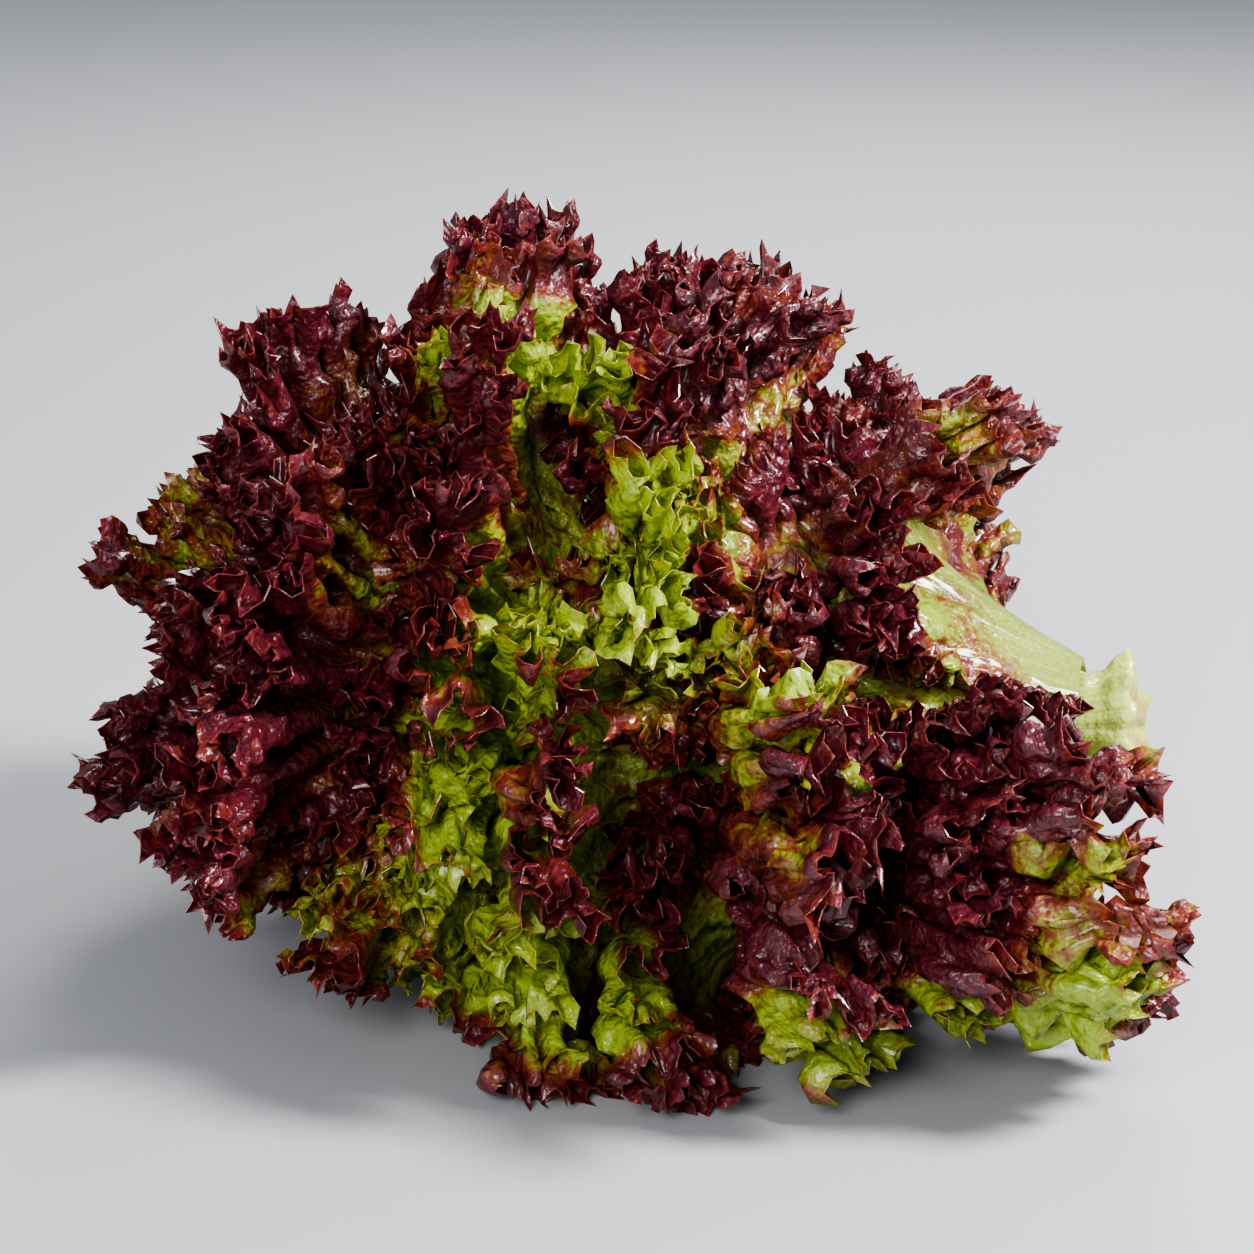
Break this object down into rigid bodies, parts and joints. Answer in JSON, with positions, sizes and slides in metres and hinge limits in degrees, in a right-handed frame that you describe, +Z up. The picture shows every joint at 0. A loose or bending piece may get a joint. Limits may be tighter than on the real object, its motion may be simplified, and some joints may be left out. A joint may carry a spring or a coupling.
{
  "type": "red leaf lettuce",
  "caption": "Cut head of red leaf lettuce lying on its side: frilled dark red and yellow-green leaves round a short pale stem.",
  "frame": {"origin": "middle of the head's box, on the surface that it lies on", "axes": "+X towards the cut end of the stem, +Y towards the back of the head as the picture shows it, +Z up"},
  "size_m": [0.2435, 0.2413, 0.173],
  "materials": {
    "stem": "moist, pale green to cream, with a browned cut end",
    "outer_leaves": "glossy and moist, dark red edges over green blades with pale ribs",
    "middle_leaves": "glossy and moist, dark red edges over yellow-green blades",
    "inner_leaves": "glossy and moist, dark red edges over yellow-green blades"
  },
  "bodies": {
    "root": {"stem": "stem", "outer_leaf_1": "outer_leaves", "outer_leaf_2": "outer_leaves", "outer_leaf_3": "outer_leaves", "outer_leaf_4": "outer_leaves", "outer_leaf_5": "outer_leaves", "outer_leaf_6": "outer_leaves", "outer_leaf_7": "outer_leaves", "outer_leaf_8": "outer_leaves", "outer_leaf_9": "outer_leaves", "middle_leaf_1": "middle_leaves", "middle_leaf_2": "middle_leaves", "middle_leaf_3": "middle_leaves", "middle_leaf_4": "middle_leaves", "middle_leaf_5": "middle_leaves", "middle_leaf_6": "middle_leaves", "middle_leaf_7": "middle_leaves", "middle_leaf_8": "middle_leaves", "middle_leaf_9": "middle_leaves", "inner_leaf_1": "inner_leaves", "inner_leaf_2": "inner_leaves", "inner_leaf_3": "inner_leaves", "inner_leaf_4": "inner_leaves", "inner_leaf_5": "inner_leaves", "inner_leaf_6": "inner_leaves", "inner_leaf_7": "inner_leaves", "inner_leaf_8": "inner_leaves", "inner_leaf_9": "inner_leaves"}
  },
  "joints": []
}
